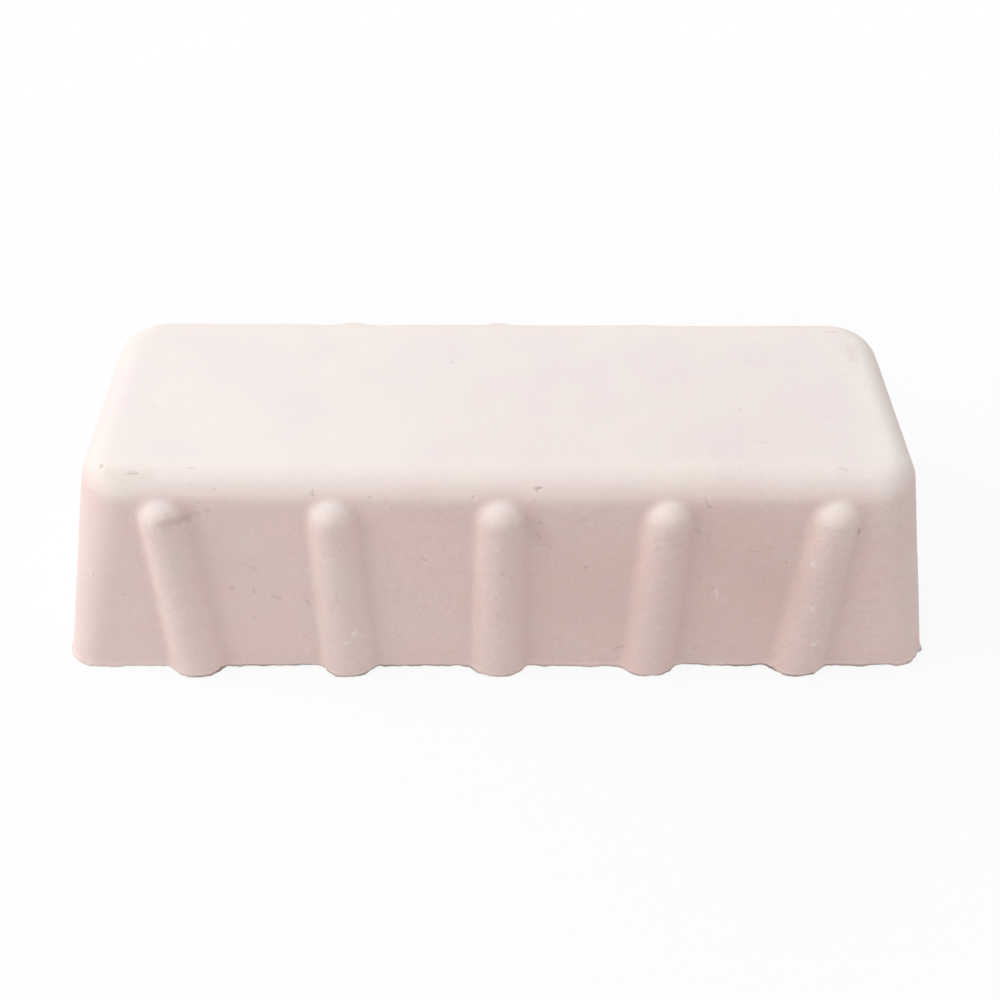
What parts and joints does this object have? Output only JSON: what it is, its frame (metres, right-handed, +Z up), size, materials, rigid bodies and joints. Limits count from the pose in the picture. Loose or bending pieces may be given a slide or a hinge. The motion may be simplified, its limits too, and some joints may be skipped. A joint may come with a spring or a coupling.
{
  "type": "buffing compound bar",
  "caption": "Cast bar of waxy buffing compound with drafted walls, rounded top edges and half-round grip ribs down both long sides.",
  "frame": {"origin": "centre of the flat base the bar rests on", "axes": "+X along the bar, +Y across it towards one ribbed wall, +Z up from the base to the top face"},
  "size_m": [0.11, 0.0426, 0.0292],
  "materials": {
    "compound": "matte, slightly waxy"
  },
  "bodies": {
    "root": {"compound_bar": "compound"}
  },
  "joints": []
}
